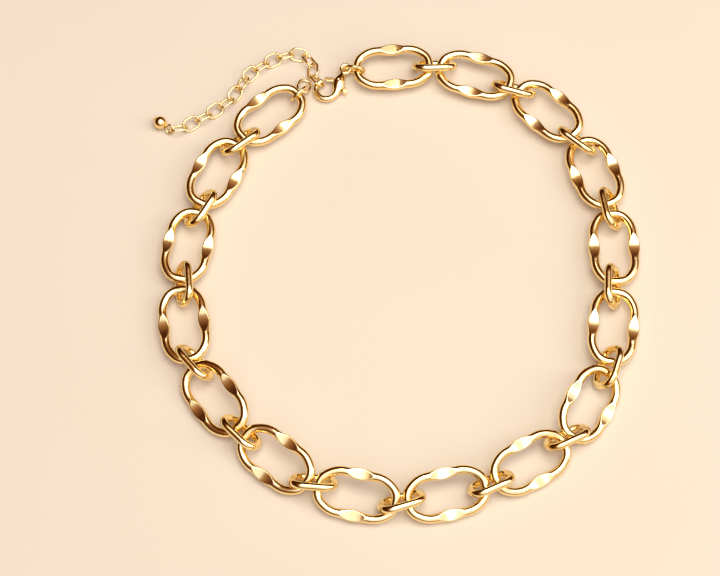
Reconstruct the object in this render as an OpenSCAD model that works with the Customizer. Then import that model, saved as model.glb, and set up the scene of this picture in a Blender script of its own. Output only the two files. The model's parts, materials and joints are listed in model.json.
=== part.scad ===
// Chain necklace of pinched oval links, with a lobster clasp and an extender chain.
// It lies on the ground as a closed loop: +Z up, -Y to the front, origin under the middle of the loop.

/* [Pinched links] */
// Overall length of a large link
link_l = 24.6; // [20:0.2:30]
// Overall width of a large link
link_w = 14.3; // [11.5:0.1:18]
// Wire diameter of a large link
link_wire = 2.6; // [2:0.1:3.2]
// Length of the dents that are pressed into each long side
dent_l = 7.6; // [6:0.1:9.5]
// How far the pinch spreads the wire to each side
pinch_spread = 0.45; // [0.3:0.05:0.7]
// Thickness left between the two dents of a pinch
pinch_t = 1.7; // [1.2:0.1:2.2]

/* [Connector rings] */
// Overall length of a connector ring
ring_l = 14; // [11.5:0.1:17]
// Overall width of a connector ring
ring_w = 9.2; // [8.6:0.1:11.2]
// Wire diameter of a connector ring
ring_wire = 2.2; // [1.8:0.1:2.7]

/* [Jump rings] */
// Outside diameter of a jump ring
jump_d = 7; // [6.6:0.1:8.5]
// Wire diameter of a jump ring
jump_wire = 1; // [0.8:0.1:1.2]

/* [Clasp] */
// Overall length of the clasp
clasp_l = 15; // [14:0.5:18]
// Radius of the hook along the middle of its wire
hook_r = 3.2; // [3:0.1:3.9]
// Offset of the hook from the eye's line, towards the mouth
hook_y = 1.2; // [0.8:0.1:1.6]
// Wire diameter of the hook
hook_wire = 1.9; // [1.5:0.1:2.2]
// Radius of the eye along the middle of its wire
eye_r = 1.4; // [1.3:0.1:1.8]
// Wire diameter of the eye
eye_wire = 1.1; // [0.8:0.1:1.3]
// Radius of the round housing that holds the lever
housing_r = 2.1; // [1.8:0.1:2.4]
// Thickness of the housing
housing_t = 2.8; // [2.4:0.1:3.4]
// Thickness of the lever
lever_t = 0.9; // [0.7:0.1:1.2]
// Width of the lever's gate
gate_w = 1.2; // [0.9:0.1:1.5]
// Diameter of the lever's rivet
rivet_d = 0.9; // [0.7:0.1:1.1]

/* [Extender chain] */
// Overall length of an extender link
fine_l = 5.8; // [5:0.1:7]
// Overall width of an extender link
fine_w = 4.4; // [4.2:0.1:5.4]
// Wire diameter of an extender link
fine_wire = 0.7; // [0.5:0.05:0.9]
// Diameter of the end bead
bead_d = 4; // [3:0.1:5]

/* [Lay] */
// Roll of a large link in the front half of the loop, its front side down
link_roll = 20; // [10:1:22]
// Roll of a large link in the back half of the loop, its front side down
back_roll = 5; // [0:1:20]
// Lean of a connector ring from upright
ring_lean = 40; // [20:1:42]
// Gap between the ends of two neighbouring large links
lay_gap = 0.9; // [0.6:0.1:2]
// Roll of an extender link, to either side in turn
fine_roll = 40; // [30:1:50]
// Distance between the chain's two end wires, which the clasp bridges
closing = 20; // [20:0.5:24]

/* [Clearances] */
// Play between two hooked wires of the large chain
slack = 0.35; // [0.25:0.05:0.5]
// Play between two hooked wires of the fine chain
fine_slack = 0.2; // [0.1:0.05:0.3]
// Running play of the lever in its slot
lever_play = 0.15; // [0.1:0.05:0.25]
// Running play of the rivet in the lever
rivet_play = 0.05; // [0.03:0.01:0.1]

/* [Hidden] */
$fn = 48;
GOLD = "goldenrod";

// Headings of the large links from the extender's end round to the clasp's end
LINK_HEADINGS = [221, 244, 260, 279, 306, 322, 348, 373, 390, 421, 442, 451, 469, 496, 523, 544];
// How each connector ring lies on the line between its two links: its turn from that line,
// its share of the full lean with the side it leans to, and its shift along and across the line
RING_LAYS = [
    [-14, -1, 0, 0.8], [-11, -1, 0, 0.8], [6, -0.7, 0, 1.2], [18, 0.85, 0, 1.2], [1, 1, 0, 0],
    [20, 1, 0, 0.8], [17, 1, 0, 0.4], [3, 1, 0, 0], [-20, 1, 0.4, 0.8], [0, 1, 0, 0],
    [0, -0.7, 0, 1.2], [0, -0.85, 0, 0], [17, -0.85, -0.8, 0.8], [13, -1, 0, 0.8], [8, -1, 0, 0]
];
// Headings of the extender links from the second one, which the clasp holds, to the free end
FINE_HEADINGS = [133, 88, 126, 172, 198, 208, 214, 226, 244, 236, 222, 217, 210, 216, 190];
links = len(LINK_HEADINGS);
fine_links = len(FINE_HEADINGS) + 1;
// Middle of the first large link
FIRST_LINK = [-36.82, 52.1];

link_lc = link_l - link_wire;
link_wc = link_w - link_wire;
ring_lc = ring_l - ring_wire;
ring_wc = ring_w - ring_wire;
fine_lc = fine_l - fine_wire;
fine_wc = fine_w - fine_wire;
jump_r = (jump_d - jump_wire) / 2;
// Straight stretch at the very end of each kind of link, on which its neighbour turns
ring_flat = 0.8;
fine_flat = 0.4;
// Distances between the middles of two hooked wires
jump_hook = (link_wire + jump_wire) / 2 + slack;
eye_hook = (jump_wire + eye_wire) / 2 + fine_slack;
start_hook = (jump_wire + fine_wire) / 2 + fine_slack;
claw_hook = (hook_wire + fine_wire) / 2 + fine_slack;
fine_hook = fine_wire + fine_slack;
// Stretch of a connector ring between the end wires of its two links
ring_span = link_wire + lay_gap;
link_z = ring_wire + link_wire / 2 + slack;

// The pinch: a swelling a little longer than its dents, and the jaws that press them to their length
dent_edge = 0.2;
pinch_l = dent_l + 2 * dent_edge;
pinch_w = link_wire + 2 * pinch_spread;
swell_r = (pinch_spread * pinch_spread + pinch_l * pinch_l / 4) / (2 * pinch_spread);
dent_depth = pinch_w / 2 - swell_r + sqrt(swell_r * swell_r - dent_l * dent_l / 4) - pinch_t / 2;
jaw_r = (dent_l * dent_l / 4 + dent_depth * dent_depth) / (2 * dent_depth);

// Each quarter of a large link is a tight bend at the end and a wide one along the side, with a short
// straight between them. Both radii are even tenths, and the straights across the end and beside the
// pinch take up what is over, so that the link comes to its length and width.
turn_cos = 0.6;
turn_sin = 0.8;
link_turn = atan2(turn_sin, turn_cos);
link_tie = 0.5;
least_flat = 1.2;
least_bar = 0.4;
bend_x = (link_lc - pinch_l) / 2 - least_bar - link_tie * turn_sin;
bend_y = (link_wc - least_flat) / 2 - link_tie * turn_cos;
bend_share = turn_sin + turn_cos - 1;
end_bend_r = floor(10 * (bend_y * turn_cos - bend_x * (1 - turn_sin)) / bend_share) / 10;
side_bend_r = floor(10 * (bend_x * turn_sin - bend_y * (1 - turn_cos)) / bend_share) / 10;
side_bar = (link_lc - pinch_l) / 2 - link_tie * turn_sin - end_bend_r * (1 - turn_cos) - side_bend_r * turn_cos;
link_flat = link_wc - 2 * (link_tie * turn_cos + end_bend_r * turn_sin + side_bend_r * (1 - turn_sin));

// A ring lies as photographed while its opening and the links' end bends leave it this much room. With
// less room it stands up and lines up with its links by as much.
full_opening_room = 2.2;
full_bend_room = 3;
opening_room = ring_w - 2 * ring_wire - link_wire;
bend_room = end_bend_r - link_wire / 2;
ring_ease = share_of(opening_room, full_opening_room) * share_of(bend_room, full_bend_room);

function share_of(room, full_room) = max(0, min(1, room / full_room));
function heading(h, pitch = 0) = [cos(pitch) * cos(h), cos(pitch) * sin(h), -sin(pitch)];
// From -1 to 1: which side of a piece on this heading faces the front
function facing(h) = max(-1, min(1, 2 * cos(h)));

// The loop is fanned by a small turn per link until its ends are the closing distance apart
function fanned(i, fan) = LINK_HEADINGS[i] + fan * (i - (links - 1) / 2);
function step(i, fan) =
    link_lc / 2 * (heading(fanned(i, fan)) + heading(fanned(i + 1, fan)))
    + ring_span * heading((fanned(i, fan) + fanned(i + 1, fan)) / 2);
function place(i, fan) = i == 0 ? [FIRST_LINK.x, FIRST_LINK.y, link_z] : place(i - 1, fan) + step(i - 1, fan);
function start_end(fan) = place(0, fan) - link_lc / 2 * heading(fanned(0, fan));
function last_end(fan) = place(links - 1, fan) + link_lc / 2 * heading(fanned(links - 1, fan));
function opening(fan) = norm(last_end(fan) - start_end(fan));
loop_fan = (closing - opening(0)) / (opening(0.1) - opening(0)) * 0.1;

function link_heading(i) = fanned(i, loop_fan);
function link_place(i) = place(i, loop_fan);
function link_tilt(i) =
    let (side = facing(link_heading(i)))
    side * (side > 0 ? link_roll : back_roll);
function joint_heading(i) = (link_heading(i) + link_heading(i + 1)) / 2;
function ring_heading(i) = joint_heading(i) + ring_ease * RING_LAYS[i][0];
function ring_tilt(i) = ring_ease * ring_lean * RING_LAYS[i][1];
function ring_place(i) =
    let (
        line = heading(joint_heading(i)),
        middle = link_place(i) + link_lc / 2 * heading(link_heading(i))
            + (ring_span / 2 + ring_ease * RING_LAYS[i][2]) * line
            + ring_ease * RING_LAYS[i][3] * [-line.y, line.x, 0]
    ) [middle.x, middle.y, ring_wire / 2 + ring_wc / 2 * cos(ring_tilt(i))];

// Jump ring and clasp at the last link's end
clasp_ring_heading = 164;
clasp_ring_dip = 30;
clasp_ring_lean = 15;
clasp_heading = 237;
clasp_dip = 5.5;
clasp_ring_dir = heading(clasp_ring_heading, clasp_ring_dip);
clasp_ring_place = last_end(loop_fan) + (jump_r - jump_hook) * clasp_ring_dir;
eye_place = clasp_ring_place + (jump_r - eye_hook) * clasp_ring_dir + eye_r * heading(clasp_ring_heading);
hook_x = clasp_l - eye_r - eye_wire / 2 - hook_r - hook_wire / 2;
hook_place = [hook_x, -hook_y];
// The lever's housing stands off the eye and a little to the back of the eye's line
eye_gap = 0.4;
pivot_y = 0.3;
pivot = [housing_r + eye_r + eye_wire / 2 + eye_gap, pivot_y];
neck_thin = 0.4 * eye_wire;
neck_thick = 0.6 * hook_wire;
slot_t = lever_t + 2 * lever_play;
slot_back = 0.8 * housing_r;
slot_front = 1.24 * housing_r;
slot_past = 3 * housing_r;
// Turns along the hook: where its back straightens, where its tip ends and where the extender hangs
back_turn = 100;
tip_turn = -116;
hang_turn = -104;
gate_turn = -65;
tip_place = hook_place + hook_r * [cos(tip_turn), sin(tip_turn)];
tip_r = 0.54 * hook_wire;
// The back bar is a little stouter than the hook's wire, which runs on into it, and slimmer than the housing
back_more = 0.3;
back_less = 0.2;
back_t = hook_wire + back_more;
back_w = housing_t - back_less;
seat_turn = 8;
// The lever's boss, gate and thumb nub
boss_r = 0.95 * gate_w;
gate_reach = norm(tip_place - pivot) - tip_r - gate_w / 2 - lever_play;
nub_turn = 60;
nub_r = 0.9;
nub_h = 0.8 * housing_t;
nub_sink = 0.1;
nub_out = 1.5;
nub_reach = housing_r + nub_out;
// The spring's strip and the air that it keeps from the slot's wall and the lever's boss
spring_t = 0.13;
spring_air = 0.02;
spring_r = (slot_back - boss_r) / 2 - spring_air;

// Turns a point of the clasp's own frame into the loop's frame
function clasp_point(p) =
    let (along = p.x * cos(clasp_dip) + p.z * sin(clasp_dip))
    eye_place + [
        along * cos(clasp_heading) - p.y * sin(clasp_heading),
        along * sin(clasp_heading) + p.y * cos(clasp_heading),
        -p.x * sin(clasp_dip) + p.z * cos(clasp_dip)
    ];

// Extender: its first link hangs on the start jump ring, and the clasp holds the second
start_ring_heading = 62;
start_ring_dip = 35;
start_ring_lean = 25;
first_fine_heading = 73;
first_fine_dip = 19;
first_fine_roll = 14;
start_ring_dir = heading(start_ring_heading, start_ring_dip);
start_ring_place = start_end(loop_fan) + (jump_r - jump_hook) * start_ring_dir;
first_fine_place =
    start_ring_place + (jump_r - start_hook) * start_ring_dir
    + fine_lc / 2 * heading(first_fine_heading, first_fine_dip);
held_roll = 47;
held_reach = hook_r - claw_hook + fine_lc / 2;
held_offset = held_reach * [cos(hang_turn), sin(hang_turn)];
held_place = clasp_point([hook_place.x + held_offset.x, hook_place.y + held_offset.y, 0]);
fine_z = fine_wc / 2 * sin(fine_roll) + fine_wire / 2;
function fine_place(i) =
    i == 0 ? held_place
    : let (
        turn = (FINE_HEADINGS[i - 1] + FINE_HEADINGS[i]) / 2,
        middle = fine_place(i - 1)
            + fine_lc / 2 * (heading(FINE_HEADINGS[i - 1]) + heading(FINE_HEADINGS[i]))
            - fine_hook * heading(turn)
    ) [middle.x, middle.y, fine_z];
function fine_tilt(i) = i == 0 ? held_roll : (i % 2 == 0 ? fine_roll : -fine_roll);

// Bead on its eye pin at the extender's free end
bead_heading = 145;
pin_eye_r = 1.2;
pin_hook = fine_wire + fine_slack;
bead_reach = pin_eye_r + fine_wire / 2 + bead_d / 2;
bead_rise = asin((bead_d / 2 - fine_z) / bead_reach);
bead_tilt = fine_links % 2 == 0 ? -fine_roll : fine_roll;
last_fine = len(FINE_HEADINGS) - 1;
pin_place =
    fine_place(last_fine) + fine_lc / 2 * heading(FINE_HEADINGS[last_fine])
    + (pin_eye_r - pin_hook) * heading(bead_heading);

function numbered(name, i) = str(name, i < 9 ? "0" : "", i + 1);

// A bend of wire in the XY plane, round the origin
module wire_bend(bend_r, wire_r, from, to) {
    rotate(from)
        rotate_extrude(angle = to - from)
            translate([bend_r, 0])
                circle(r = wire_r);
}

// A straight of wire along X
module wire_bar(length, wire_r) {
    rotate([0, 90, 0])
        cylinder(h = length, r = wire_r, center = true);
}

// A plain oval link of round wire: a short straight across each end, between two quarter bends
module oval_link(lc, wc, wire, flat) {
    bend_r = (wc - flat) / 2;
    for (turn = [0, 180])
        rotate(turn) {
            translate([lc / 2, 0, 0])
                rotate(90)
                    wire_bar(flat, wire / 2);
            translate([lc / 2 - bend_r, flat / 2, 0])
                wire_bend(bend_r, wire / 2, 0, 90);
            translate([lc / 2 - bend_r, -flat / 2, 0])
                wire_bend(bend_r, wire / 2, -90, 0);
        }
    for (side = [-1, 1])
        translate([0, side * wc / 2, 0])
            wire_bar(lc - wc + flat, wire / 2);
}

// Both ends of a large link
module pinched_ends() {
    wire_r = link_wire / 2;
    for (turn = [0, 180])
        rotate(turn) {
            translate([link_lc / 2, 0, 0])
                rotate(90)
                    wire_bar(link_flat, wire_r);
            for (side = [-1, 1]) {
                out = [turn_cos, side * turn_sin, 0];
                along = [-turn_sin, side * turn_cos, 0];
                end_middle = [link_lc / 2 - end_bend_r, side * link_flat / 2, 0];
                tie_start = end_middle + end_bend_r * out;
                side_middle = tie_start + link_tie * along - side_bend_r * out;
                translate(end_middle)
                    wire_bend(end_bend_r, wire_r, side > 0 ? 0 : -link_turn, side > 0 ? link_turn : 0);
                translate(tie_start + link_tie / 2 * along)
                    rotate(side * (link_turn + 90))
                        wire_bar(link_tie, wire_r);
                translate(side_middle)
                    wire_bend(side_bend_r, wire_r, side > 0 ? link_turn : -90, side > 0 ? 90 : -link_turn);
            }
        }
}

// The swelling of a pinched wire, turned about X
module swelling() {
    rotate([0, 90, 0])
        rotate_extrude()
            intersection() {
                translate([pinch_w / 2 - swell_r, 0])
                    circle(r = swell_r, $fn = 180);
                translate([0, -pinch_l / 2])
                    square([pinch_w, pinch_l]);
            }
}

// A long side of a large link: the swelling with a hollow dent pressed into its top and bottom
module pinched_side() {
    difference() {
        swelling();
        for (face = [-1, 1])
            translate([0, 0, face * (pinch_t / 2 + jaw_r)])
                rotate([90, 0, 0])
                    cylinder(h = 2 * pinch_w, r = jaw_r, center = true, $fn = 120);
    }
    for (end = [-1, 1])
        translate([end * (pinch_l + side_bar) / 2, 0, 0])
            wire_bar(side_bar, link_wire / 2);
}

module pinched_link(i) {
    color(GOLD)
        translate(link_place(i))
            rotate([link_tilt(i), 0, link_heading(i)]) {
                pinched_ends();
                for (side = [-1, 1])
                    translate([0, side * link_wc / 2, 0])
                        pinched_side();
            }
}

module connector_ring(i) {
    color(GOLD)
        translate(ring_place(i))
            rotate([90 + ring_tilt(i), 0, ring_heading(i)])
                oval_link(ring_lc, ring_wc, ring_wire, ring_flat);
}

module jump_ring() {
    rotate_extrude()
        translate([jump_r, 0])
            circle(d = jump_wire);
}

module clasp_jump_ring() {
    color(GOLD)
        translate(clasp_ring_place)
            rotate([90 - clasp_ring_lean, clasp_ring_dip, clasp_ring_heading])
                jump_ring();
}

module extender_jump_ring() {
    color(GOLD)
        translate(start_ring_place)
            rotate([90 + start_ring_lean, start_ring_dip, start_ring_heading])
                jump_ring();
}

// Puts a piece of the clasp in its place
module on_clasp() {
    translate(eye_place)
        rotate([0, clasp_dip, clasp_heading])
            children();
}

module clasp_body() {
    back_end = hook_place + hook_r * [cos(back_turn), sin(back_turn)];
    back_l = (back_end.x - pivot.x) / cos(back_turn - 90);
    color(GOLD)
        on_clasp()
            difference() {
                union() {
                    rotate_extrude()
                        translate([eye_r, 0])
                            circle(d = eye_wire);
                    translate([eye_r, 0, 0])
                        rotate([0, 90, 0])
                            cylinder(h = pivot.x - eye_r, r1 = neck_thin, r2 = neck_thick);
                    translate(pivot)
                        cylinder(h = housing_t, r = housing_r, center = true);
                    translate(back_end)
                        rotate(back_turn + 90)
                            linear_extrude(back_t, center = true)
                                polygon([
                                    [0, -back_t / 2],
                                    [back_l, -back_w / 2],
                                    [back_l, back_w / 2],
                                    [0, back_t / 2]
                                ]);
                    translate(hook_place)
                        wire_bend(hook_r, hook_wire / 2, tip_turn, back_turn + seat_turn);
                }
                translate([pivot.x - slot_back, -slot_past, -slot_t / 2])
                    cube([slot_back + slot_front, 2 * slot_past, slot_t]);
                translate(pivot)
                    cylinder(h = 2 * housing_t, d = rivet_d, center = true);
            }
}

// The lever: a boss on the rivet, a gate that shuts the mouth and an arm with a thumb nub
module clasp_lever() {
    color(GOLD)
        on_clasp()
            translate(pivot)
                difference() {
                    union() {
                        linear_extrude(height = lever_t, center = true) {
                            circle(r = boss_r);
                            rotate(gate_turn)
                                translate([0, -gate_w / 2])
                                    square([gate_reach, gate_w]);
                            rotate(gate_turn)
                                translate([gate_reach, 0])
                                    circle(d = gate_w);
                            rotate(nub_turn)
                                translate([0, -gate_w / 2])
                                    square([nub_reach, gate_w]);
                        }
                        rotate(nub_turn)
                            translate([nub_reach + nub_r - nub_sink, 0, 0])
                                cylinder(h = nub_h, r = nub_r, center = true);
                    }
                    cylinder(h = 2 * lever_t, r = rivet_d / 2 + rivet_play, center = true);
                }
}

module clasp_pivot_pin() {
    color("darkgoldenrod")
        on_clasp()
            translate(pivot)
                cylinder(h = housing_t, d = rivet_d, center = true);
}

// A strip of spring steel, bent round between the slot's end wall and the lever's boss
module clasp_spring() {
    color("silver")
        on_clasp()
            translate([pivot.x - (slot_back + boss_r) / 2, pivot.y, 0])
                linear_extrude(height = lever_t, center = true)
                    difference() {
                        circle(r = spring_r);
                        circle(r = spring_r - spring_t);
                        translate([-spring_r, -2 * spring_r])
                            square(2 * spring_r);
                    }
}

module fine_link() {
    oval_link(fine_lc, fine_wc, fine_wire, fine_flat);
}

module extender_link(i) {
    color(GOLD)
        if (i == 0)
            translate(first_fine_place)
                rotate([first_fine_roll, first_fine_dip, first_fine_heading])
                    fine_link();
        else
            translate(fine_place(i - 1))
                rotate([fine_tilt(i - 1), 0, FINE_HEADINGS[i - 1]])
                    fine_link();
}

// Puts a piece of the end bead in its place, with X from the eye to the bead
module on_bead() {
    translate(pin_place)
        rotate([bead_tilt, -bead_rise, bead_heading])
            children();
}

module end_bead_pin() {
    pin_r = fine_wire / 2;
    head_r = 2 * pin_r;
    head_t = pin_r;
    color(GOLD)
        on_bead() {
            rotate_extrude()
                translate([pin_eye_r, 0])
                    circle(r = pin_r);
            translate([pin_eye_r, 0, 0])
                rotate([0, 90, 0])
                    cylinder(h = pin_r + bead_d + head_t / 2, r = pin_r);
            translate([pin_eye_r + pin_r + bead_d, 0, 0])
                rotate([0, 90, 0])
                    cylinder(h = head_t, r = head_r);
        }
}

module end_bead() {
    color(GOLD)
        on_bead()
            translate([bead_reach, 0, 0])
                rotate([0, 90, 0])
                    rotate_extrude()
                        intersection() {
                            circle(d = bead_d);
                            translate([fine_wire / 2, -bead_d])
                                square([bead_d, 2 * bead_d]);
                        }
}

for (i = [0 : links - 1])
    pinched_link(i);
for (i = [0 : links - 2])
    connector_ring(i);
clasp_jump_ring();
clasp_body();
clasp_lever();
clasp_pivot_pin();
clasp_spring();
extender_jump_ring();
for (i = [0 : fine_links - 1])
    extender_link(i);
end_bead_pin();
end_bead();
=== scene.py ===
"""Looks of a gold-plated chain necklace of pinched oval links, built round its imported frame.

Every size is in metres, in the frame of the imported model. Each repeated piece is modelled once and copied
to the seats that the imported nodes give.
"""

import json
import logging
import math
from dataclasses import dataclass, field
from enum import Enum

import bpy
import numpy as np
from mathutils import Matrix, Vector


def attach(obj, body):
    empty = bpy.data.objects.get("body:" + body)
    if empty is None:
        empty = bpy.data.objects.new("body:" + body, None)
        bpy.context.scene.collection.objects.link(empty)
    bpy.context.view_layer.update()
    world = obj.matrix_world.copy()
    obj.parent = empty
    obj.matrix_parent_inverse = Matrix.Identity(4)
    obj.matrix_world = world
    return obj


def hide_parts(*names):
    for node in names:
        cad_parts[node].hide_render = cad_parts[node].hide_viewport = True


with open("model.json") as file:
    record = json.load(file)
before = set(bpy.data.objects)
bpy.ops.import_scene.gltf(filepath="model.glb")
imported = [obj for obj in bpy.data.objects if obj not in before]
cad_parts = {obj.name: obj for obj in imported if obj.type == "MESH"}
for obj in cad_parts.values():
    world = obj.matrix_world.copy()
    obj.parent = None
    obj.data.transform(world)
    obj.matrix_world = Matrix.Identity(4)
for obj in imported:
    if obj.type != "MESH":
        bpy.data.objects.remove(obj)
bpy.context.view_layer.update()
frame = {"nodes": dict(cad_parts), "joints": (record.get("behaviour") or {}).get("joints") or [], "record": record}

LOG = logging.getLogger("necklace")
MM = 0.001
WELD = 2e-6


class Slot(Enum):
    """The record's material slots that modelled pieces wear."""

    GOLD = "gold_plate"


class Mark(Enum):
    """Vertex attributes that a finish reads."""

    LIP = "lip"
    DENT = "dent"


class Signal:
    """A node's output that takes part in sums written as Python."""

    def __init__(self, tree: bpy.types.NodeTree, socket: bpy.types.NodeSocket) -> None:
        """Wraps a socket of a node tree."""
        self.tree = tree
        self.socket = socket

    def _math(self, operation: str, first: object, second: object) -> "Signal":
        """Adds a Math node.

        Args:
            operation: The Math node's operation.
            first: A signal or a number.
            second: A signal or a number.

        Returns:
            The node's output.
        """
        node = self.tree.nodes.new("ShaderNodeMath")
        node.operation = operation
        for socket, value in zip(node.inputs, (first, second)):
            if isinstance(value, Signal):
                self.tree.links.new(value.socket, socket)
            else:
                socket.default_value = float(value)
        return Signal(self.tree, node.outputs[0])

    def __add__(self, other: object) -> "Signal":
        """Sum."""
        return self._math("ADD", self, other)

    def __radd__(self, other: object) -> "Signal":
        """Sum, reflected."""
        return self._math("ADD", other, self)

    def __mul__(self, other: object) -> "Signal":
        """Product."""
        return self._math("MULTIPLY", self, other)


class Shader:
    """The node tree of a material or a world, with one method that makes any node."""

    def __init__(self, tree: bpy.types.NodeTree) -> None:
        """Takes an empty node tree in hand."""
        self.tree = tree
        self.tree.nodes.clear()

    def node(self, kind: str, settings: dict, output: object = 0, **sockets: object) -> Signal | None:
        """Adds a node.

        Args:
            kind: The node's type.
            settings: Attributes that are set first. "stops" gives a ramp's places and colours.
            output: Which output comes back, by name or number.
            sockets: Values or signals by socket name, with _ for a space and iN for a socket's number.

        Returns:
            The chosen output, or nothing where the node has none.
        """
        node = self.tree.nodes.new(kind)
        for key, value in settings.items():
            if key == "stops":
                self._stops(node.color_ramp, value)
            else:
                setattr(node, key, value)
        for key, value in sockets.items():
            numbered = key[0] == "i" and key[1:].isdigit()
            socket = node.inputs[int(key[1:])] if numbered else node.inputs[key.replace("_", " ")]
            if isinstance(value, Signal):
                self.tree.links.new(value.socket, socket)
            else:
                socket.default_value = value
        return Signal(self.tree, node.outputs[output]) if node.outputs else None

    @staticmethod
    def _stops(ramp: bpy.types.ColorRamp, stops: list) -> None:
        """Sets a ramp's stops.

        Args:
            ramp: The ramp.
            stops: Pairs of a place and a grey or a colour.
        """
        while len(ramp.elements) < len(stops):
            ramp.elements.new(1.0)
        for element, (place, colour) in zip(ramp.elements, stops):
            element.position = place
            element.color = (colour,) * 3 + (1,) if isinstance(colour, float) else tuple(colour) + (1,)

    def coordinates(self, scale: tuple, turn: tuple = (0.0, 0.0, 0.0)) -> Signal:
        """Object coordinates, scaled and turned.

        Args:
            scale: Scale along the three axes, per metre.
            turn: Turn about the three axes, in radians.

        Returns:
            The mapped coordinates.
        """
        place = self.node("ShaderNodeTexCoord", {}, "Object")
        return self.node("ShaderNodeMapping", {}, 0, Vector=place, Rotation=turn, Scale=scale)

    def noise(self, where: Signal, scale: float, detail: float) -> Signal:
        """Noise over given coordinates.

        Args:
            where: The coordinates.
            scale: Features per unit of them.
            detail: Octaves.

        Returns:
            The noise, about 0 to 1.
        """
        return self.node("ShaderNodeTexNoise", {}, "Fac", Vector=where, Scale=scale, Detail=detail)

    def ramp(self, factor: Signal, stops: list) -> Signal:
        """A colour ramp over a factor."""
        return self.node("ShaderNodeValToRGB", {"stops": stops}, 0, Fac=factor)

    def mark(self, mark: Mark) -> Signal:
        """A vertex attribute of the piece."""
        return self.node("ShaderNodeAttribute", {"attribute_name": mark.value}, "Fac")

    def mix(self, factor: object, first: object, second: object) -> Signal:
        """A mix of two colours.

        Args:
            factor: Share of the second colour.
            first: A colour or a signal.
            second: A colour or a signal.

        Returns:
            The mixed colour.
        """
        return self.node("ShaderNodeMix", {"data_type": "RGBA"}, 2, i0=factor, i6=first, i7=second)

    def end(self, surface: Signal, kind: str = "ShaderNodeOutputMaterial") -> None:
        """Ends the tree in an output node."""
        self.node(kind, {}, 0, Surface=surface)


@dataclass(frozen=True)
class GoldPlate:
    """Polished gold plate, with the faint waviness of a cast and tumbled link."""

    pale: tuple = (1.0, 0.80, 0.41, 1)
    rich: tuple = (0.98, 0.71, 0.28, 1)
    worn: tuple = (1.0, 0.88, 0.58, 1)
    polish: float = 0.06
    # Features per metre of the colour's drift, the clouding, the fine grain and the surface's waves
    tint_scale: float = 170.0
    tint_stops: tuple = ((0.35, 0.0), (0.65, 1.0))
    cloud_scale: float = 900.0
    grain_scale: float = 5200.0
    wave_scale: float = 330.0
    # Hairline scratches: their stretch and turn, and the noise levels where one begins and is full
    hair_stretch: tuple = (9000.0, 700.0, 2500.0)
    hair_turn: tuple = (0.3, 0.5, 0.7)
    hair_levels: tuple = (0.66, 0.72)
    lip_wear: float = 0.6
    # What the clouding, the scratches, the dents and the grain add to the roughness
    cloud_rough: float = 0.05
    hair_rough: float = 0.05
    dent_rough: float = 0.05
    grain_rough: float = 0.02
    # What the grain in the dents, the scratches and the clouding add to the waves' height
    dent_height: float = 0.06
    hair_height: float = -0.03
    cloud_height: float = 0.05
    bump_strength: float = 0.35
    bump_depth: float = 0.05 * MM

    def material(self) -> bpy.types.Material:
        """Builds the material.

        Returns:
            The gold material.
        """
        material = bpy.data.materials.new("polished_gold_plate")
        material.use_nodes = True
        shader = Shader(material.node_tree)
        place = shader.node("ShaderNodeTexCoord", {}, "Object")
        tint = shader.noise(place, self.tint_scale, detail=3.0)
        cloud = shader.noise(place, self.cloud_scale, detail=4.0)
        fine = shader.noise(place, self.grain_scale, detail=2.0)
        lip = shader.mark(Mark.LIP)
        dent = shader.mark(Mark.DENT)
        hair = shader.noise(shader.coordinates(self.hair_stretch, self.hair_turn), 1.0, detail=1.0)
        faint, full = self.hair_levels
        hairline = shader.node("ShaderNodeMapRange", {}, 0, Value=hair, i1=faint, i2=full, i3=0.0, i4=1.0)
        base = shader.mix(shader.ramp(tint, list(self.tint_stops)), self.pale, self.rich)
        base = shader.mix(lip * self.lip_wear, base, self.worn)
        rough = self.polish + cloud * self.cloud_rough + hairline * self.hair_rough
        rough = rough + dent * self.dent_rough + fine * self.grain_rough
        height = shader.noise(place, self.wave_scale, detail=2.0) + dent * fine * self.dent_height
        height = height + hairline * self.hair_height + cloud * self.cloud_height
        normal = shader.node(
            "ShaderNodeBump", {}, 0, Strength=self.bump_strength, Distance=self.bump_depth, Height=height
        )
        surface = shader.node(
            "ShaderNodeBsdfPrincipled", {}, 0, Base_Color=base, Metallic=1.0, Roughness=rough, Normal=normal
        )
        shader.end(surface)
        return material


@dataclass(frozen=True)
class SpringSteel:
    """Bare rolled strip, with grain along the strip."""

    light: tuple = (0.62, 0.61, 0.6, 1)
    dark: tuple = (0.46, 0.45, 0.45, 1)
    grain_stretch: tuple = (900.0, 900.0, 9000.0)
    polish: float = 0.22
    grain_rough: float = 0.15
    bump_strength: float = 0.3
    bump_depth: float = 0.01 * MM

    def material(self) -> bpy.types.Material:
        """Builds the material.

        Returns:
            The steel material.
        """
        material = bpy.data.materials.new("rolled_spring_steel")
        material.use_nodes = True
        shader = Shader(material.node_tree)
        grain = shader.noise(shader.coordinates(self.grain_stretch), 1.0, detail=3.0)
        base = shader.mix(grain, self.dark, self.light)
        normal = shader.node(
            "ShaderNodeBump", {}, 0, Strength=self.bump_strength, Distance=self.bump_depth, Height=grain
        )
        surface = shader.node(
            "ShaderNodeBsdfPrincipled",
            {},
            0,
            Base_Color=base,
            Metallic=1.0,
            Roughness=self.polish + grain * self.grain_rough,
            Normal=normal,
        )
        shader.end(surface)
        return material


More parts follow.
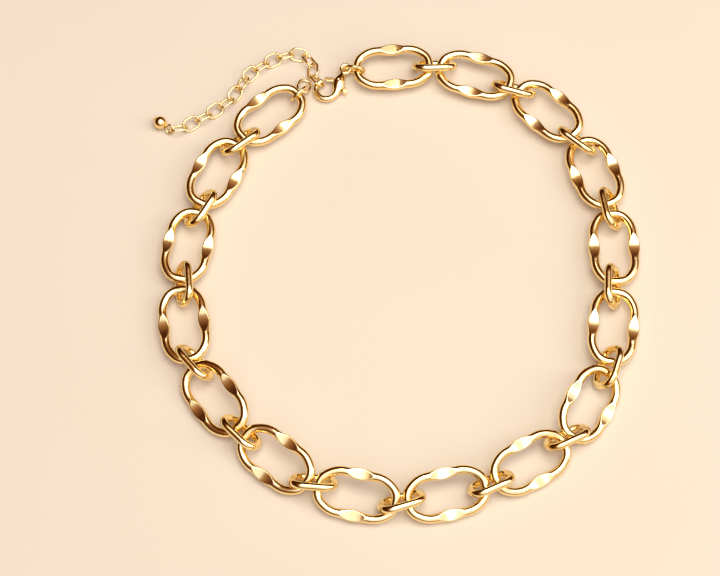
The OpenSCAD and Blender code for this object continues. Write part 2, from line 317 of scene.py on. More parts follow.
@dataclass(frozen=True)
class PaleFloor:
    """Plain pale floor with the faintest mottle."""

    light: tuple = (0.80, 0.68, 0.51, 1)
    dark: tuple = (0.77, 0.645, 0.475, 1)
    mottle_scale: float = 14.0
    roughness: float = 0.75

    def material(self) -> bpy.types.Material:
        """Builds the material.

        Returns:
            The floor's material.
        """
        material = bpy.data.materials.new("pale_floor")
        material.use_nodes = True
        shader = Shader(material.node_tree)
        place = shader.node("ShaderNodeTexCoord", {}, "Object")
        base = shader.mix(shader.noise(place, self.mottle_scale, detail=4.0), self.dark, self.light)
        surface = shader.node("ShaderNodeBsdfPrincipled", {}, 0, Base_Color=base, Roughness=self.roughness)
        shader.end(surface)
        return material


class Bench:
    """Modelling moves on the piece in hand, most of them by Blender's own operators."""

    DISC_POINTS = 64
    BEVEL_STEPS = 4
    RUB_SHARE = 0.5

    @staticmethod
    def clear() -> None:
        """Deselects everything."""
        bpy.ops.object.select_all(action="DESELECT")

    @staticmethod
    def settled() -> bpy.types.Object:
        """Puts the new primitive's place and turn into its mesh.

        Returns:
            The primitive.
        """
        bpy.ops.object.transform_apply(location=True, rotation=True, scale=True)
        return bpy.context.active_object

    @staticmethod
    def circle(
        count: int, radius: float, place: tuple, turn: tuple, fill: str = "NOTHING"
    ) -> bpy.types.Object:
        """Starts a piece from a wire's round section.

        Args:
            count: Points round the section.
            radius: Its radius.
            place: Its middle.
            turn: Its turn, in radians.
            fill: How the section is closed.

        Returns:
            The new piece.
        """
        Bench.clear()
        bpy.ops.mesh.primitive_circle_add(
            vertices=count, radius=radius, fill_type=fill, location=place, rotation=turn
        )
        return Bench.settled()

    @staticmethod
    def ring(count: int, steps: int, radius: float, wire: float) -> bpy.types.Object:
        """A closed round ring of wire about Z.

        Args:
            count: Points round the wire.
            steps: Sections round the ring.
            radius: The ring's radius along the middle of the wire.
            wire: The wire's radius.

        Returns:
            The ring.
        """
        piece = Bench.circle(count, wire, (radius, 0, 0), (math.pi / 2, 0, 0))
        Bench.edit()
        Bench.spin(steps, 2 * math.pi, (0, 0, 0))
        Bench.done()
        Bench.tidy(piece)
        return piece

    @staticmethod
    def rod(count: int, steps: int) -> bpy.types.Object:
        """A closed rod along X, one millimetre in radius and in step.

        Args:
            count: Points round the rod.
            steps: Steps along it.

        Returns:
            The rod, from the origin.
        """
        piece = Bench.circle(count, MM, (0, 0, 0), (0, math.pi / 2, 0), "NGON")
        Bench.edit()
        for _ in range(steps):
            Bench.pull((MM, 0, 0))
        Bench.done()
        return piece

    @staticmethod
    def disc(place: tuple, radius: float, thick: float) -> bpy.types.Object:
        """A round plate lying in the clasp's plane.

        Args:
            place: Its middle in the plane.
            radius: Its radius.
            thick: Its thickness.

        Returns:
            The plate.
        """
        Bench.clear()
        bpy.ops.mesh.primitive_cylinder_add(
            vertices=Bench.DISC_POINTS, radius=radius, depth=thick, location=(*place, 0)
        )
        return Bench.settled()

    @staticmethod
    def block(middle: tuple, size: tuple, rounding: float) -> bpy.types.Object:
        """A block with its edges rounded.

        Args:
            middle: Its middle.
            size: Its three sides.
            rounding: Radius of the rounding.

        Returns:
            The block.
        """
        Bench.clear()
        bpy.ops.mesh.primitive_cube_add(size=1, location=middle, scale=size)
        piece = Bench.settled()
        Bench.apply(piece, "BEVEL", width=rounding, segments=Bench.BEVEL_STEPS)
        return piece

    @staticmethod
    def off(place: tuple, turn: float, reach: float) -> tuple:
        """The spot at a turn and a reach from a place."""
        return (place[0] + reach * math.cos(turn), place[1] + reach * math.sin(turn))

    @staticmethod
    def bar(place: tuple, turn: float, reach: float, width: float, thick: float) -> bpy.types.Object:
        """A flat bar from a place outwards.

        Args:
            place: Where it starts.
            turn: Its heading.
            reach: Its length.
            width: Its width.
            thick: Its thickness.

        Returns:
            The bar.
        """
        Bench.clear()
        middle = Bench.off(place, turn, reach / 2)
        bpy.ops.mesh.primitive_cube_add(
            size=1, location=(*middle, 0), rotation=(0, 0, turn), scale=(reach, width, thick)
        )
        return Bench.settled()

    @staticmethod
    def edit() -> None:
        """Goes into edit mode."""
        bpy.ops.object.mode_set(mode="EDIT")

    @staticmethod
    def done() -> None:
        """Goes back to object mode."""
        bpy.ops.object.mode_set(mode="OBJECT")

    @staticmethod
    def pull(step: tuple) -> None:
        """Extrudes the selected section by a step."""
        bpy.ops.mesh.extrude_region_move(TRANSFORM_OT_translate={"value": step})

    @staticmethod
    def spin(steps: int, angle: float, middle: tuple) -> None:
        """Spins the selected section about Z, which the operator does the other way round."""
        bpy.ops.mesh.spin(steps=steps, angle=-angle, center=middle, axis=(0, 0, 1))

    @staticmethod
    def pick(piece: bpy.types.Object, kind: str, chosen: np.ndarray) -> None:
        """Goes into edit mode with only the chosen points or faces selected.

        Args:
            piece: The piece.
            kind: VERT or FACE.
            chosen: One flag per point or face.
        """
        Bench.edit()
        bpy.ops.mesh.select_mode(type=kind)
        bpy.ops.mesh.select_all(action="DESELECT")
        Bench.done()
        elements = piece.data.vertices if kind == "VERT" else piece.data.polygons
        elements.foreach_set("select", chosen)
        Bench.edit()

    @staticmethod
    def apply(piece: bpy.types.Object, kind: str, **settings: object) -> None:
        """Adds a modifier and applies it.

        Args:
            piece: The piece.
            kind: The modifier's type.
            settings: Its settings.
        """
        Bench.clear()
        piece.select_set(True)
        bpy.context.view_layer.objects.active = piece
        modifier = piece.modifiers.new(kind.lower(), kind)
        for key, value in settings.items():
            setattr(modifier, key, value)
        bpy.ops.object.modifier_apply(modifier=modifier.name)

    @staticmethod
    def tidy(piece: bpy.types.Object) -> None:
        """Merges doubles, points the faces outwards and shades the piece smooth.

        Args:
            piece: The piece.
        """
        Bench.clear()
        piece.select_set(True)
        bpy.context.view_layer.objects.active = piece
        Bench.edit()
        bpy.ops.mesh.select_all(action="SELECT")
        bpy.ops.mesh.remove_doubles(threshold=WELD)
        bpy.ops.mesh.normals_make_consistent(inside=False)
        Bench.done()
        bpy.ops.object.shade_smooth()

    @staticmethod
    def fuse(piece: bpy.types.Object, voxel: float, rubs: int = 0) -> None:
        """Fuses shapes that overlap into one skin and rubs its edges round.

        Args:
            piece: The piece.
            voxel: Size of the skin's cells.
            rubs: Rounds of rubbing.
        """
        Bench.apply(piece, "REMESH", mode="VOXEL", voxel_size=voxel)
        if rubs:
            Bench.apply(piece, "SMOOTH", factor=Bench.RUB_SHARE, iterations=rubs)

    @staticmethod
    def joined(name: str, *pieces: bpy.types.Object) -> bpy.types.Object:
        """Joins pieces into the first.

        Args:
            name: The joined piece's name.
            pieces: The pieces.

        Returns:
            The joined piece.
        """
        Bench.clear()
        for piece in pieces:
            piece.select_set(True)
        bpy.context.view_layer.objects.active = pieces[0]
        bpy.ops.object.join()
        pieces[0].name = name
        return pieces[0]

    @staticmethod
    def cut(piece: bpy.types.Object, tool: bpy.types.Object) -> None:
        """Cuts a tool's shape out of a piece and throws the tool away."""
        Bench.apply(piece, "BOOLEAN", operation="DIFFERENCE", solver="EXACT", object=tool)
        bpy.data.objects.remove(tool)

    @staticmethod
    def points(piece: bpy.types.Object) -> np.ndarray:
        """The piece's points.

        Args:
            piece: The piece.

        Returns:
            One row per vertex.
        """
        out = np.zeros(len(piece.data.vertices) * 3)
        piece.data.vertices.foreach_get("co", out)
        return out.reshape(-1, 3)

    @staticmethod
    def move(piece: bpy.types.Object, points: np.ndarray) -> None:
        """Puts the piece's points at new places."""
        piece.data.vertices.foreach_set("co", points.ravel())
        piece.data.update()

    @staticmethod
    def note(piece: bpy.types.Object, mark: Mark, values: np.ndarray) -> None:
        """Writes a vertex attribute."""
        layer = piece.data.attributes.new(mark.value, "FLOAT", "POINT")
        layer.data.foreach_set("value", values.astype(np.float32))


@dataclass(frozen=True)
class Seat:
    """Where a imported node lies: its middle and the axes of its shape, the longest first."""

    middle: Vector
    axes: Matrix

    @classmethod
    def of(cls, node: str) -> "Seat":
        """Finds a node's seat from the area of its faces.

        Args:
            node: The node's name.

        Returns:
            Its seat.
        """
        mesh = frame["nodes"][node].data
        mesh.calc_loop_triangles()
        points = np.array([v.co for v in mesh.vertices])
        corners = points[np.array([t.vertices for t in mesh.loop_triangles])]
        across = np.cross(corners[:, 1] - corners[:, 0], corners[:, 2] - corners[:, 0])
        area = np.linalg.norm(across, axis=1) / 2
        middle = (corners.mean(1) * area[:, None]).sum(0) / area.sum()
        corners = corners - middle
        total = corners.sum(1)
        spread = np.einsum("t,tci,tcj->ij", area, corners, corners)
        spread = spread + np.einsum("t,ti,tj->ij", area, total, total)
        axes = np.linalg.eigh(spread)[1][:, ::-1]
        axes[:, 2] = np.cross(axes[:, 0], axes[:, 1])
        return cls(Vector(middle), Matrix(axes.tolist()))

    def matrix(self) -> Matrix:
        """The seat as a 4 by 4 matrix."""
        return Matrix.Translation(self.middle) @ self.axes.to_4x4()


class Fitter:
    """Puts finished pieces on the frame."""

    def __init__(self, gold: bpy.types.Material) -> None:
        """Keeps the gold and which body each node belongs to."""
        self.gold = gold
        self.body = {n: b for b, nodes in frame["record"]["behaviour"]["bodies"].items() for n in nodes}

    def seat(self, piece: bpy.types.Object, node: str, place: Matrix) -> None:
        """Puts a piece in a node's stead.

        Args:
            piece: The piece, modelled round the origin.
            node: The node that it stands for.
            place: Where it goes.
        """
        piece.data.transform(place)
        piece.data.update()
        piece.name = f"{node}_look"
        piece.data.materials.clear()
        piece.data.materials.append(self.gold)
        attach(piece, self.body[node])
        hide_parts(node)
        LOG.info("%s: %d faces", piece.name, len(piece.data.polygons))

    def spread(self, pattern: bpy.types.Object, nodes: list) -> None:
        """Copies one pattern to the seats of several nodes.

        Args:
            pattern: The piece that is copied.
            nodes: The nodes' names.
        """
        for node in nodes:
            copy = pattern.copy()
            copy.data = pattern.data.copy()
            bpy.context.scene.collection.objects.link(copy)
            self.seat(copy, node, Seat.of(node).matrix())
        bpy.data.objects.remove(pattern)


@dataclass
class OvalLink:
    """A link of round wire: two bent ends and two straight sides."""

    name: str
    length: float
    width: float
    wire: float
    flat: float
    round_points: int = 40
    bend_steps: int = 18
    side_steps: int = 8

    def side_places(self) -> np.ndarray:
        """Places of the sections along half a long side.

        Returns:
            Distances from the middle, from the bend inwards.
        """
        return np.linspace(self.reach, 0, self.side_steps + 1)

    @property
    def half(self) -> float:
        """Half the length along the middle of the wire."""
        return (self.length - self.wire) / 2

    @property
    def axis(self) -> float:
        """How far the middle of a long side's wire is from the link's middle line."""
        return (self.width - self.wire) / 2

    @property
    def reach(self) -> float:
        """Half the straight side."""
        return self.half - self.axis + self.flat / 2

    def bend_round(self) -> None:
        """Bends the selected section from the link's end round to its side."""
        Bench.spin(self.bend_steps, math.pi / 2, (self.reach, self.flat / 2, 0))

    def build(self) -> bpy.types.Object:
        """Models a quarter by extruding and spinning the wire's section, and mirrors it.

        Returns:
            The link round the origin, long along X.
        """
        piece = Bench.circle(self.round_points, self.wire / 2, (self.half, 0, 0), (math.pi / 2, 0, 0))
        Bench.edit()
        Bench.pull((0, self.flat / 2, 0))
        self.bend_round()
        for step in np.diff(self.side_places()):
            Bench.pull((step, 0, 0))
        Bench.done()
        self.press(piece)
        Bench.apply(piece, "MIRROR", use_axis=(True, True, False), merge_threshold=WELD)
        Bench.tidy(piece)
        piece.name = self.name
        return piece

    def press(self, piece: bpy.types.Object) -> None:
        """Leaves the round wire as it is."""


@dataclass
class PinchedLink(OvalLink):
    """A large link whose long sides are squeezed between round jaws: they swell sideways and dent above."""

    end_bend: float = 4.3 * MM
    side_bend: float = 7.4 * MM
    tie: float = 0.5 * MM
    turn: float = math.atan2(0.8, 0.6)
    pinch_length: float = 8.8 * MM
    pinch_width: float = 3.5 * MM
    pinch_left: float = 1.7 * MM
    jaw: float = 14.85 * MM
    fillet: float = 0.16 * MM
    # How strongly the section's points gather at the lips, and the depth at which a dent counts as full
    gather: float = 0.55
    dent_full: float = 0.1 * MM
    # Steps along the side before the dent and along it, and samples in the search for its end
    plain_steps: int = 10
    dent_steps: int = 30
    samples: int = 2000
    # Slack, in radians, for a point at a lip or at the top, and, in metres, for one at mid height
    lip_slack: float = 1e-4
    top_slack: float = 1e-6
    level_slack: float = 1e-9

    @property
    def reach(self) -> float:
        """Half the straight side, between the wide bends."""
        bends = self.end_bend * (1 - math.cos(self.turn)) + self.side_bend * math.cos(self.turn)
        return self.half - bends - self.tie * math.sin(self.turn)

    def bend_round(self) -> None:
        """Bends the selected section tightly at the end and widely along the side."""
        steps = self.bend_steps // 2
        Bench.spin(steps, self.turn, (self.half - self.end_bend, self.flat / 2, 0))
        Bench.pull((-self.tie * math.sin(self.turn), self.tie * math.cos(self.turn), 0))
        Bench.spin(steps, math.pi / 2 - self.turn, (self.reach, self.axis - self.side_bend, 0))

    def side_places(self) -> np.ndarray:
        """Places of the sections, closer together towards the dent's end.

        Returns:
            Distances from the middle, from the bend inwards.
        """
        tip = self.dent_end()
        outer = self.reach - (self.reach - tip) * np.sin(np.linspace(0, math.pi / 2, self.plain_steps + 1))
        inner = tip * np.sin(np.linspace(math.pi / 2, 0, self.dent_steps + 1))
        return np.concatenate([outer[:-1], inner])

    def radius(self, x: np.ndarray) -> np.ndarray:
        """Radius of the swollen wire.

        Args:
            x: Distances from the middle of the side.

        Returns:
            The radii.
        """
        share = np.clip(np.abs(x) / (self.pinch_length / 2), 0, 1)
        return self.wire / 2 + (self.pinch_width - self.wire) / 2 * np.cos(share * math.pi / 2) ** 2

    def roof(self, x: np.ndarray) -> np.ndarray:
        """Height that the jaws leave.

        Args:
            x: Distances from the middle of the side.

        Returns:
            The heights above the middle of the wire.
        """
        along = np.minimum(np.abs(x), self.jaw / 2)
        return self.pinch_left / 2 + self.jaw - np.sqrt(self.jaw**2 - along**2)

    def dent_end(self) -> float:
        """Where the dent runs out.

        Returns:
            Its distance from the middle of the side.
        """
        x = np.linspace(0, self.reach, self.samples)
        return float(x[np.argmax(self.roof(x) >= self.radius(x))])

    def press(self, piece: bpy.types.Object) -> None:
        """Swells and dents the sections along the side.

        Args:
            piece: The quarter link.
        """
        points = Bench.points(piece)
        side = points[:, 0] <= self.reach + WELD
        x, y, z = points[side, 0], points[side, 1] - self.axis, points[side, 2]
        turn = np.arctan2(z, y)
        radius, roof, tip = self.radius(x), self.roof(x), self.dent_end()
        eighth = math.pi / 4
        dented = np.arcsin(np.clip(roof / radius, 0, 1))
        fade = np.clip((x - tip) / (self.reach - tip), 0, 1)
        fade = fade * fade * (3 - 2 * fade)
        corner = np.where(x < tip, dented, math.pi / 2 + (eighth - math.pi / 2) * fade)
        # The section is four blocks: the two edges and the two dents, with points gathered at the lips
        outer = np.minimum(np.abs(turn), math.pi - np.abs(turn))
        on_edge = outer <= eighth + self.lip_slack
        gather = self.gather * (1 - fade)
        share = np.clip(outer / eighth, 0, 1)
        eased = share + gather * (1 - (1 - share) ** 2 - share)
        edge_turn = corner * eased
        top = np.clip((outer - eighth) / eighth, 0, 1)
        run = np.cos(corner)
        flat_y = run * ((1 - gather) * (1 - top) + gather * np.cos(top * math.pi / 2))
        round_turn = corner + (math.pi / 2 - corner) * top
        flat_turn = np.arccos(np.clip(flat_y, 0, 1))
        top_turn = flat_turn * (1 - fade) + round_turn * fade
        new = np.where(on_edge, edge_turn, top_turn)
        across = radius * np.cos(new)
        up = radius * np.sin(new)
        near = np.clip(self.fillet - np.abs(up - roof), 0, None) / self.fillet
        pressed = np.minimum(up, roof) - near**2 * self.fillet / 4
        inward = np.abs(turn) > math.pi / 2 + self.top_slack
        points[side, 1] = self.axis + across * np.where(inward, -1, 1)
        points[side, 2] = pressed * np.sign(np.where(np.abs(z) < self.level_slack, 0, z))
        lip = np.zeros(len(points))
        dent = np.zeros(len(points))
        lip[side] = near
        dent[side] = np.clip((up - roof) / self.dent_full, 0, 1)
        Bench.move(piece, points)
        Bench.note(piece, Mark.LIP, lip)
        Bench.note(piece, Mark.DENT, dent)


@dataclass
class JumpRing:
    """A round ring of wire, closed butt to butt with a hairline cut."""

    name: str = "jump_ring"
    outside: float = 7 * MM
    wire: float = 1 * MM
    cut: float = 0.05 * MM
    round_points: int = 32
    steps: int = 96

    def build(self) -> bpy.types.Object:
        """Spins the wire's section nearly all the way round and closes its two ends.

        Returns:
            The ring round the origin, flat in XY.
        """
        middle = (self.outside - self.wire) / 2
        open_turn = self.cut / middle
        piece = Bench.circle(
            self.round_points, self.wire / 2, (middle, 0, 0), (math.pi / 2, 0, 0), "NGON"
        )
        Bench.edit()
        Bench.spin(self.steps, 2 * math.pi - open_turn, (0, 0, 0))
        Bench.done()
        Bench.tidy(piece)
        piece.name = self.name
        return piece


@dataclass
class LobsterClasp:
    """The clasp: a claw with its eye, a lever in its slot, and the rivet that the lever turns on."""

    eye: float = 1.4 * MM
    eye_wire: float = 1.1 * MM
    hook: float = 3.2 * MM
    hook_place: tuple = (8.9 * MM, -1.2 * MM)
    hook_wire: float = 1.9 * MM
    back_turn: float = math.radians(100)
    tip_turn: float = math.radians(-130)
    pivot: tuple = (4.45 * MM, 0.3 * MM)
    hang_turn: float = math.radians(-104)
    slot: float = 1.2 * MM
    slot_from: float = 2.8 * MM
    slot_to: float = 7.0 * MM
    slot_across: float = 14 * MM
    slot_round: float = 0.25 * MM
    cheeks: float = 2.8 * MM
    lever: float = 0.9 * MM
    boss: float = 1.14 * MM
    gate: float = 1.2 * MM
    gate_turn: float = math.radians(-65)
    gate_reach: float = 3.72 * MM
    nub_turn: float = math.radians(60)
    nub_reach: float = 3.6 * MM
    nub: float = 0.76 * MM
    nub_out: float = 0.6 * MM
    nub_share: float = 0.7
    rivet: float = 0.9 * MM
    play: float = 0.05 * MM
    # Insets and lifts, in millimetres, that dome the rivet's ends
    rivet_dome: tuple = ((0.1, 0.05), (0.12, 0.03), (0.12, 0.012))
    end_facing: float = 0.9
    # The hook's wire where it starts, against its packed size, its loss by the tip, and the tip's rounding
    hook_full: float = 1.06
    hook_taper: float = 0.14
    tip_round: float = 0.98
    # Voxel sizes for fusing the claw, for evening it once it is slotted, and for the lever
    fuse_voxel: float = 0.07 * MM
    even_voxel: float = 0.06 * MM
    lever_voxel: float = 0.05 * MM
    claw_rubs: int = 14
    lever_rubs: int = 12
    lever_crease: float = math.radians(40)
    rivet_crease: float = math.radians(50)
    # Points round the claw and its eye, steps round the eye, and the spine's knots, rows and blur
    claw_points: int = 40
    eye_points: int = 32
    eye_steps: int = 72
    hook_knots: int = 40
    spine_rows: int = 120
    spine_blur: tuple = (1, 2, 3, 4, 3, 2, 1)
    # Places along the claw's back, in its own plane, with half its width and half its depth there
    back: tuple = (
        (1.7, 0.0, 0.62, 0.5),
        (2.3, 0.12, 0.95, 0.72),
        (3.0, 0.3, 1.38, 1.05),
        (3.8, 0.48, 1.72, 1.3),
        (4.7, 0.74, 2.0, 1.48),
        (5.6, 1.06, 1.92, 1.46),
        (6.5, 1.4, 1.7, 1.38),
        (7.4, 1.72, 1.42, 1.24),
    )

    def place(self) -> Matrix:
        """Finds the clasp's own frame from the pivot of its lever and the spot where the extender hangs.

        Returns:
            The matrix from the clasp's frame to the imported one.
        """
        joints = {j["name"]: j for j in frame["joints"]}
        pivot = Vector(joints["open_lever"]["pos_m"])
        hang = Vector(joints["lift_fine_02"]["pos_m"])
        up = Vector(joints["open_lever"]["axis"]).normalized()
        run = hang - pivot
        hang_x = self.hook_place[0] + self.hook * math.cos(self.hang_turn) - self.pivot[0]
        hang_y = self.hook_place[1] + self.hook * math.sin(self.hang_turn) - self.pivot[1]
        along = Matrix.Rotation(-math.atan2(hang_y, hang_x), 3, up) @ run.normalized()
        across = up.cross(along)
        origin = pivot - along * self.pivot[0] - across * self.pivot[1]
        return Matrix.Translation(origin) @ Matrix((along, across, up)).transposed().to_4x4()

    def spine(self) -> np.ndarray:
        """Sections of the claw from its eye round to its tip.

        Returns:
            Rows of place x, place y, half width and half depth.
        """
        rows = [[v * MM for v in row] for row in self.back]
        for share in np.linspace(0, 1, self.hook_knots):
            turn = self.back_turn + (self.tip_turn - self.back_turn) * share
            thick = self.hook_wire / 2 * (self.hook_full - self.hook_taper * share)
            rows.append(
                [
                    self.hook_place[0] + self.hook * math.cos(turn),
                    self.hook_place[1] + self.hook * math.sin(turn),
                    thick,
                    thick,
                ]
            )
        knots = np.array(rows)
        length = np.concatenate([[0], np.cumsum(np.linalg.norm(np.diff(knots[:, :2], axis=0), axis=1))])
        even = np.linspace(0, length[-1], self.spine_rows)
        out = np.stack([np.interp(even, length, knots[:, k]) for k in range(4)], axis=1)
        kernel = np.array(self.spine_blur) / sum(self.spine_blur)
        for k in range(4):
            padded = np.pad(out[:, k], len(kernel) // 2, mode="reflect", reflect_type="odd")
            out[:, k] = np.convolve(padded, kernel, mode="valid")
        end = np.clip((length[-1] - even) / (self.hook_wire / 2), 0, 1)
        out[:, 2:] *= np.sqrt(1 - (1 - end) ** 2 * self.tip_round)[:, None]
        return out

    def claw(self) -> bpy.types.Object:
        """Models the claw: a wire drawn along its spine, fused with its eye and slotted for the lever.

        Returns:
            The claw, in the clasp's own frame.
        """
        rows = self.spine()
        piece = Bench.rod(self.claw_points, len(rows) - 1)
        points = Bench.points(piece)
        at = np.rint(points[:, 0] / MM).astype(int)
        ahead = np.gradient(rows[:, :2], axis=0)
        ahead /= np.linalg.norm(ahead, axis=1)[:, None]
        row = rows[at]
        out = np.stack(
            [
                row[:, 0] - ahead[at, 1] * points[:, 1] / MM * row[:, 2],
                row[:, 1] + ahead[at, 0] * points[:, 1] / MM * row[:, 2],
                points[:, 2] / MM * row[:, 3],
            ],
            axis=1,
        )
        Bench.move(piece, out)
        Bench.tidy(piece)
        eye = Bench.ring(self.eye_points, self.eye_steps, self.eye, self.eye_wire / 2)
        piece = Bench.joined("claw", piece, eye)
        Bench.fuse(piece, self.fuse_voxel)
        middle = (self.slot_from + self.slot_to) / 2
        size = (self.slot_to - self.slot_from, self.slot_across, self.slot)
        Bench.cut(piece, Bench.block((middle, 0, 0), size, self.slot_round))
        Bench.fuse(piece, self.even_voxel, self.claw_rubs)
        Bench.tidy(piece)
        return piece

    def lever_arm(self) -> bpy.types.Object:
        """Models the lever: boss, gate and thumb arm fused, with its edges rubbed round, and bored.

        Returns:
            The lever, in the clasp's own frame.
        """
        boss = Bench.disc(self.pivot, self.boss, self.lever)
        gate = Bench.bar(self.pivot, self.gate_turn, self.gate_reach, self.gate, self.lever)
        end = Bench.disc(Bench.off(self.pivot, self.gate_turn, self.gate_reach), self.gate / 2, self.lever)
        arm = Bench.bar(self.pivot, self.nub_turn, self.nub_reach, self.gate, self.lever)
        nub = Bench.disc(
            Bench.off(self.pivot, self.nub_turn, self.nub_reach + self.nub_out),
            self.nub,
            self.nub_share * self.cheeks,
        )
        piece = Bench.joined("lever", boss, gate, end, arm, nub)
        Bench.fuse(piece, self.lever_voxel, self.lever_rubs)
        Bench.cut(piece, Bench.disc(self.pivot, self.rivet / 2 + self.play, 2 * self.lever))
        Bench.tidy(piece)
        bpy.ops.object.shade_smooth_by_angle(angle=self.lever_crease)
        return piece

    def rivet_pin(self) -> bpy.types.Object:
        """Models the rivet: a pin whose two ends are set over into low domes.

        Returns:
            The rivet, in the clasp's own frame.
        """
        piece = Bench.disc(self.pivot, self.rivet / 2, self.cheeks)
        for side in (-1, 1):
            facing = [face.normal.z * side > self.end_facing for face in piece.data.polygons]
            Bench.pick(piece, "FACE", np.array(facing))
            for inset, lift in self.rivet_dome:
                bpy.ops.mesh.inset(thickness=inset * MM)
                bpy.ops.transform.translate(value=(0, 0, side * lift * MM))
            Bench.done()
        Bench.tidy(piece)
        bpy.ops.object.shade_smooth_by_angle(angle=self.rivet_crease)
        return piece

    def fit(self, fitter: Fitter) -> None:
        """Builds the clasp's pieces and seats them.

        Args:
            fitter: What seats them.
        """
        place = self.place()
        fitter.seat(self.claw(), "clasp_body", place)
        fitter.seat(self.lever_arm(), "clasp_lever", place)
        fitter.seat(self.rivet_pin(), "clasp_pivot_pin", place)
        spring = frame["nodes"]["clasp_spring"]
        spring.data.materials.clear()
        spring.data.materials.append(SpringSteel().material())


@dataclass
class EndBead:
    """The bead at the extender's free end, on its headed eye pin."""

    bead: float = 4 * MM
    wire: float = 0.7 * MM
    eye: float = 1.2 * MM
    bore_room: float = 0.05 * MM
    # The shank past the bead, in wire diameters, and the head's thickness and seat in the bead
    shank_past: float = 0.75
    head: float = 0.45 * MM
    head_sink: float = 0.05 * MM
    # The head's steps, and the square of the share of its radius that its two ends keep
    head_steps: int = 6
    head_least: float = 0.02
    voxel: float = 0.04 * MM
    rubs: int = 8
    crease: float = math.radians(50)
    # Points round the bead, its rings, points round the pin's wire and its head, and steps round the eye
    ball_points: int = 64
    ball_rings: int = 40
    wire_points: int = 24
    head_points: int = 32
    eye_steps: int = 64

    @property
    def reach(self) -> float:
        """Distance from the eye's middle to the bead's."""
        return self.eye + self.wire / 2 + self.bead / 2

    def place(self) -> Matrix:
        """Finds the bead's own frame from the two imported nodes.

        Returns:
            The matrix with X from the eye to the bead.
        """
        pin = Seat.of("end_bead_pin")
        middle = Seat.of("end_bead").middle
        along = (middle - pin.middle).normalized()
        up = pin.axes.col[2]
        up = (up - along * up.dot(along)).normalized()
        across = up.cross(along)
        origin = middle - along * self.reach
        return Matrix.Translation(origin) @ Matrix((along, across, up)).transposed().to_4x4()

    def ball(self) -> bpy.types.Object:
        """Models the bead: a ball opened at its poles, with a bore between them.

        Returns:
            The bead, in the bead's own frame.
        """
        Bench.clear()
        bpy.ops.mesh.primitive_uv_sphere_add(
            segments=self.ball_points,
            ring_count=self.ball_rings,
            radius=self.bead / 2,
            location=(self.reach, 0, 0),
            rotation=(0, math.pi / 2, 0),
        )
        piece = Bench.settled()
        points = Bench.points(piece)
        Bench.pick(piece, "VERT", np.hypot(points[:, 1], points[:, 2]) < self.wire / 2 + self.bore_room)
        bpy.ops.mesh.delete(type="VERT")
        bpy.ops.mesh.select_all(action="DESELECT")
        bpy.ops.mesh.select_non_manifold(extend=False)
        bpy.ops.mesh.bridge_edge_loops()
        Bench.done()
        Bench.tidy(piece)
        bpy.ops.object.shade_smooth_by_angle(angle=self.crease)
        piece.name = "bead"
        return piece

    def pin(self) -> bpy.types.Object:
        """Models the pin: an eye, a shank through the bead and a flattened head.

        Returns:
            The pin, in the bead's own frame.
        """
        eye = Bench.ring(self.wire_points, self.eye_steps, self.eye, self.wire / 2)
        shank = Bench.rod(self.wire_points, 1)
        points = Bench.points(shank)
        long = self.bead + self.shank_past * self.wire
        scaled = np.stack(
            [
                self.eye + points[:, 0] / MM * long,
                points[:, 1] * self.wire / 2 / MM,
                points[:, 2] * self.wire / 2 / MM,
            ],
            axis=1,
        )
        Bench.move(shank, scaled)
        head = Bench.rod(self.head_points, self.head_steps)
        points = Bench.points(head)
        share = points[:, 0] / MM / self.head_steps
        swell = self.wire * np.sqrt(np.clip(1 - (2 * share - 1) ** 2, self.head_least, 1)) / MM
        start = self.eye + self.wire / 2 + self.bead - self.head_sink
        Bench.move(
            head,
            np.stack([start + share * self.head, points[:, 1] * swell, points[:, 2] * swell], axis=1),
        )
        piece = Bench.joined("bead_pin", eye, shank, head)
        Bench.fuse(piece, self.voxel, self.rubs)
        Bench.tidy(piece)
        return piece

    def fit(self, fitter: Fitter) -> None:
        """Builds the bead and its pin and seats them.

        Args:
            fitter: What seats them.
        """
        place = self.place()
        fitter.seat(self.ball(), "end_bead", place)
        fitter.seat(self.pin(), "end_bead_pin", place)


@dataclass
class Chain:
    """The large chain, its jump rings and the fine extender chain."""

    links: int = 16
    fine_links: int = 16
    large: PinchedLink = field(
        default_factory=lambda: PinchedLink(
            "pinched_link", 24.6 * MM, 14.3 * MM, 2.6 * MM, 1.26 * MM, round_points=64, bend_steps=32
        )
    )
    connector: OvalLink = field(
        default_factory=lambda: OvalLink(
            "connector", 14 * MM, 9.2 * MM, 2.2 * MM, 0.8 * MM, round_points=48, bend_steps=20, side_steps=6
        )
    )
    fine: OvalLink = field(
        default_factory=lambda: OvalLink(
            "fine_link", 5.8 * MM, 4.4 * MM, 0.7 * MM, 0.4 * MM, round_points=28, bend_steps=14, side_steps=4
        )
    )

    @staticmethod
    def numbered(name: str, count: int) -> list:
        """Names of a numbered row of nodes."""
        return [f"{name}_{i:02d}" for i in range(1, count + 1)]

    def fit(self, fitter: Fitter) -> None:
        """Builds each kind of link once and copies it to its seats.

        Args:
            fitter: What seats them.
        """
        fitter.spread(self.large.build(), self.numbered("pinched_link", self.links))
        fitter.spread(self.connector.build(), self.numbered("connector_ring", self.links - 1))
        fitter.spread(JumpRing().build(), ["clasp_jump_ring", "extender_jump_ring"])
        fitter.spread(self.fine.build(), self.numbered("extender_link", self.fine_links))


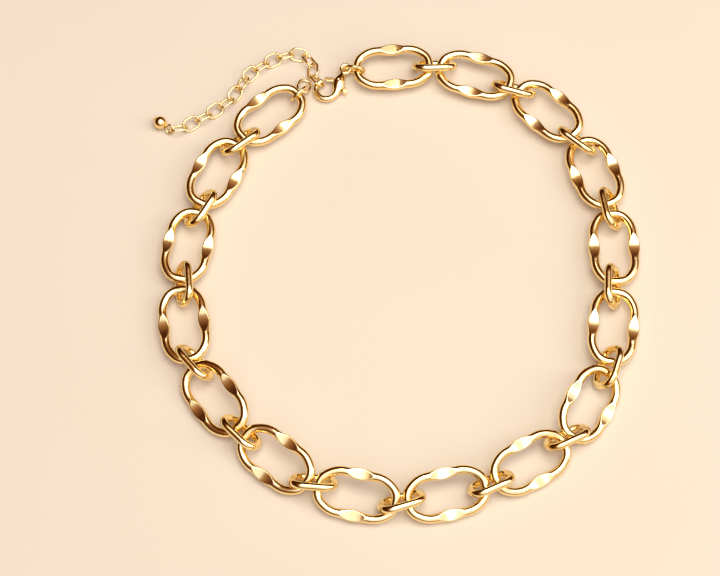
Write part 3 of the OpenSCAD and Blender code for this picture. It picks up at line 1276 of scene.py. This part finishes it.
@dataclass(frozen=True)
class Softbox:
    """One soft light."""

    name: str
    place: tuple
    aim: tuple
    size: tuple
    power: float
    colour: tuple = (1.0, 0.97, 0.92)

    def hang(self) -> None:
        """Hangs the light and aims it."""
        data = bpy.data.lights.new(self.name, "AREA")
        data.shape = "RECTANGLE"
        data.size, data.size_y = self.size
        data.energy = self.power
        data.color = self.colour
        light = bpy.data.objects.new(self.name, data)
        bpy.context.scene.collection.objects.link(light)
        light.location = self.place
        light.rotation_euler = (Vector(self.aim) - Vector(self.place)).to_track_quat("-Z", "Y").to_euler()
        light.visible_camera = False


@dataclass
class Studio:
    """Floor, room, lights and camera."""

    floor_size: float = 6.0
    floor_cells: int = 8
    floor_drop: float = 0.05 * MM
    elevation: float = math.radians(65)
    distance: float = 0.6
    target: tuple = (-9.62 * MM, -3.72 * MM, 0.0)
    lens: float = 102.75
    sensor: float = 36.0
    clip: tuple = (0.01, 50.0)
    # The mirrored room: the way to its bright ceiling, and its colours from far off that way to near it
    bright_way: tuple = (0.35, -0.35, 0.87)
    glow: tuple = (
        (0.0, (0.030, 0.008, 0.002)),
        (0.34, (0.055, 0.016, 0.005)),
        (0.52, (0.17, 0.066, 0.026)),
        (0.66, (0.32, 0.17, 0.09)),
        (0.71, (0.76, 0.78, 0.90)),
        (1.0, (0.78, 0.82, 1.0)),
    )
    glow_strength: float = 1.4
    backdrop: tuple = (0.86, 0.80, 0.73, 1)
    boxes: tuple = (
        Softbox("top_box", (0.10, -0.02, 0.85), (0, 0, 0), (0.75, 0.6), 4.7),
        Softbox("right_box", (0.85, -0.10, 0.55), (0, 0, 0), (0.35, 0.7), 2.4),
    )

    def floor(self) -> None:
        """Lays the floor."""
        Bench.clear()
        bpy.ops.mesh.primitive_grid_add(
            x_subdivisions=self.floor_cells,
            y_subdivisions=self.floor_cells,
            size=self.floor_size,
            location=(0, 0, -self.floor_drop),
        )
        ground = Bench.settled()
        ground.name = "floor"
        ground.data.materials.append(PaleFloor().material())

    def room(self) -> None:
        """Sets the room that the metal mirrors: pale to the eye, bright above and dark low down."""
        world = bpy.data.worlds.new("room")
        world.use_nodes = True
        bpy.context.scene.world = world
        shader = Shader(world.node_tree)
        way = shader.node("ShaderNodeTexCoord", {}, "Generated")
        nearness = shader.node(
            "ShaderNodeVectorMath", {"operation": "DOT_PRODUCT"}, "Value", i0=way, i1=self.bright_way
        )
        glow = shader.ramp(nearness, list(self.glow))
        mirrored = shader.node("ShaderNodeBackground", {}, 0, Color=glow, Strength=self.glow_strength)
        seen = shader.node("ShaderNodeBackground", {}, 0, Color=self.backdrop, Strength=1.0)
        direct = shader.node("ShaderNodeLightPath", {}, "Is Camera Ray")
        mixed = shader.node("ShaderNodeMixShader", {}, 0, i0=direct, i1=mirrored, i2=seen)
        shader.end(mixed, "ShaderNodeOutputWorld")

    def camera(self) -> None:
        """Sets the camera at the photograph's angle."""
        data = bpy.data.cameras.new("camera")
        data.lens = self.lens
        data.sensor_width = self.sensor
        data.clip_start, data.clip_end = self.clip
        view = bpy.data.objects.new("camera", data)
        bpy.context.scene.collection.objects.link(view)
        target = Vector(self.target)
        back = Vector((0, -math.cos(self.elevation), math.sin(self.elevation)))
        view.location = target + back * self.distance
        view.rotation_euler = (-back).to_track_quat("-Z", "Y").to_euler()
        bpy.context.scene.camera = view
        bpy.context.scene.view_settings.view_transform = "Standard"

    def build(self) -> None:
        """Builds the studio."""
        self.floor()
        self.room()
        self.camera()
        for box in self.boxes:
            box.hang()


def main() -> None:
    """Builds the necklace's looks round the frame."""
    logging.basicConfig(level=logging.INFO, format="%(name)s: %(message)s")
    Studio().build()
    fitter = Fitter(GoldPlate().material())
    Chain().fit(fitter)
    LobsterClasp().fit(fitter)
    EndBead().fit(fitter)


if __name__ == "__main__":
    main()
